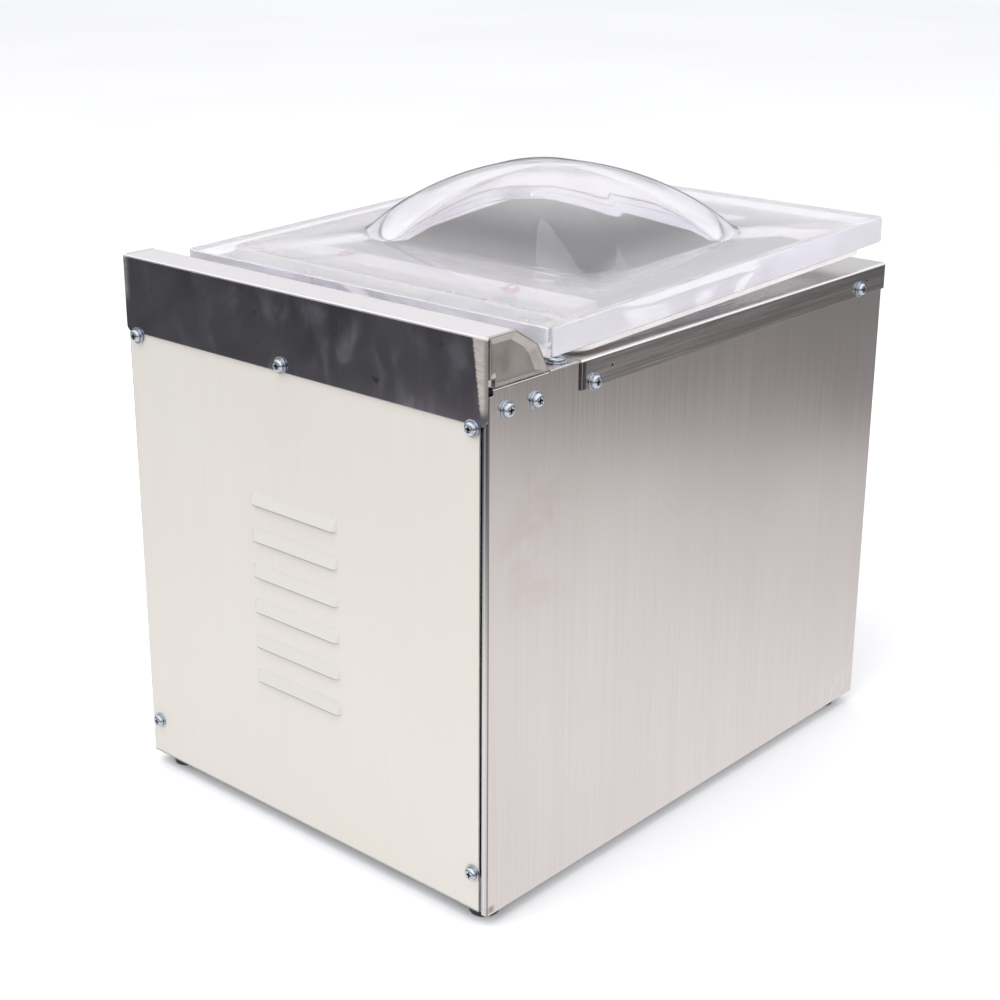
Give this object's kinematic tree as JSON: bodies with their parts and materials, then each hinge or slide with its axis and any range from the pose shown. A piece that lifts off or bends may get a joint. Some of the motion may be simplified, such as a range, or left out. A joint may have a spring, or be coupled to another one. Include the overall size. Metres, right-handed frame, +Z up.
{
  "type": "vacuum packing machine",
  "caption": "Tabletop chamber vacuum packer: stainless casing with louvred rear, drawn chamber with a lifting heated sealing bar, front controls, and a hinged clear lid with a blown dome.",
  "frame": {"origin": "middle of the bounding box in plan, on the table under the rubber feet", "axes": "+Z up; the operator stands at -Y, the louvred rear panel and the lid's hinge are at +Y, +X is the operator's right"},
  "size_m": [0.3402, 0.4651, 0.4348],
  "materials": {
    "panel_steel": "brushed, warm",
    "polished_steel": "mirror polished",
    "frame_steel": "satin zinc grey",
    "chamber_steel": "deep drawn, satin",
    "rubber": "matte",
    "zinc_screw": "bright zinc",
    "cast_aluminium": "cast, satin",
    "machined_aluminium": "machined",
    "spring_steel": "drawn wire",
    "acrylic": "clear, polished edges",
    "gasket": "soft silicone",
    "pad_rubber": "soft silicone",
    "washer_plastic": "nylon",
    "holder_plastic": "white",
    "heater": "nichrome ribbon",
    "tape": "coated glass cloth",
    "pump_iron": "painted casting",
    "motor_alloy": "ribbed casting",
    "black_plastic": "moulded",
    "grey_plastic": "moulded",
    "white_plastic": "moulded",
    "valve_black": "moulded coils on a block",
    "hose_rubber": "reinforced",
    "air_tube": "polyurethane",
    "core_iron": "laminated",
    "coil_copper": "varnished winding",
    "board": "circuit board",
    "window": "dark tinted",
    "button_plastic": "moulded",
    "control_foil": "fine brushed",
    "bezel_chrome": "polished",
    "dial_white": "printed scale",
    "needle_red": "painted",
    "gauge_glass": "clear",
    "stop_red": "moulded",
    "stop_yellow": "moulded",
    "shaft_steel": "ground"
  },
  "bodies": {
    "casing": {"base_tray": "frame_steel", "feet": "rubber", "corner_posts": "frame_steel", "rear_panel": "panel_steel", "left_panel": "panel_steel", "right_panel": "panel_steel", "front_panel": "panel_steel", "control_plate": "control_foil", "hinge_cover": "polished_steel", "hinge_deck": "panel_steel", "top_plate": "panel_steel", "chamber_tub": "chamber_steel", "suction_port": "machined_aluminium", "casing_screws": "zinc_screw", "deck_screws": "zinc_screw", "hinge_blocks": "machined_aluminium", "hinge_rod": "shaft_steel", "spring_anchor": "frame_steel", "lid_springs": "spring_steel", "lift_cylinders": "machined_aluminium", "pump_body": "pump_iron", "motor_case": "motor_alloy", "fan_cover": "frame_steel", "pump_mounts": "rubber", "exhaust_filter": "grey_plastic", "valve_block": "valve_black", "vacuum_hoses": "hose_rubber", "air_hoses": "air_tube", "transformer_core": "core_iron", "transformer_coil": "coil_copper", "control_board": "board", "display_window": "window", "gauge_case": "bezel_chrome", "gauge_dial": "dial_white", "gauge_glass": "gauge_glass", "stop_collar": "stop_yellow", "rocker_bezel": "black_plastic", "power_inlet": "black_plastic"},
    "lid": {"hinge_arm_left": "cast_aluminium", "hinge_arm_right": "cast_aluminium", "lid_plate": "acrylic", "lid_gasket": "gasket", "lid_screws": "zinc_screw", "pad_washers": "washer_plastic", "pad_holder": "holder_plastic", "pad_screws": "zinc_screw", "seal_pad": "pad_rubber"},
    "sealing_bar": {"seal_bar": "machined_aluminium", "heating_strip": "heater", "seal_tape": "tape", "lift_pistons": "shaft_steel"},
    "motor_rotor": {"motor_shaft": "shaft_steel", "motor_fan": "black_plastic"},
    "needle": {"gauge_needle": "needle_red"},
    "set_key": {"set_button": "button_plastic"},
    "minus_key": {"minus_button": "button_plastic"},
    "plus_key": {"plus_button": "button_plastic"},
    "knob": {"heat_knob": "black_plastic"},
    "stop_head": {"stop_button": "stop_red"},
    "rocker": {"power_rocker": "black_plastic"}
  },
  "joints": [
    {"name": "lid_hinge", "type": "hinge", "parent": "casing", "child": "lid", "pos_m": [0, 0.1875, 0.364], "axis": [-1, 0, 0], "range_deg": [-1.5, 55], "stiffness_Nm_per_rad": 6.2, "springref_deg": 51.57, "deforming": ["lid_springs"]},
    {"name": "sealing_bar_lift", "type": "slide", "parent": "casing", "child": "sealing_bar", "axis": [0, 0, 1], "range_m": [0, 0.011]},
    {"name": "motor_spin", "type": "hinge", "parent": "casing", "child": "motor_rotor", "pos_m": [0.045, -0.0225, 0.087], "axis": [0, 1, 0], "continuous": true},
    {"name": "needle_sweep", "type": "hinge", "parent": "casing", "child": "needle", "pos_m": [-0.1, -0.2135, 0.271], "axis": [0, 1, 0], "range_deg": [0, 270], "stiffness_Nm_per_rad": 0.001, "springref_deg": -2.86},
    {"name": "set_key_press", "type": "slide", "parent": "casing", "child": "set_key", "axis": [0, 1, 0], "range_m": [0, 0.0012], "stiffness_N_per_m": 400, "springref_m": -0.001},
    {"name": "minus_key_press", "type": "slide", "parent": "casing", "child": "minus_key", "axis": [0, 1, 0], "range_m": [0, 0.0012], "stiffness_N_per_m": 400, "springref_m": -0.001},
    {"name": "plus_key_press", "type": "slide", "parent": "casing", "child": "plus_key", "axis": [0, 1, 0], "range_m": [0, 0.0012], "stiffness_N_per_m": 400, "springref_m": -0.001},
    {"name": "knob_turn", "type": "hinge", "parent": "casing", "child": "knob", "pos_m": [0.066, -0.2185, 0.271], "axis": [0, 1, 0], "range_deg": [0, 270]},
    {"name": "stop_press", "type": "slide", "parent": "casing", "child": "stop_head", "axis": [0, 1, 0], "range_m": [0, 0.004], "stiffness_N_per_m": 900, "springref_m": -0.002},
    {"name": "rocker_tip", "type": "hinge", "parent": "casing", "child": "rocker", "pos_m": [0.112, -0.2035, 0.177], "axis": [0, 0, -1], "range_deg": [0, 16]}
  ]
}
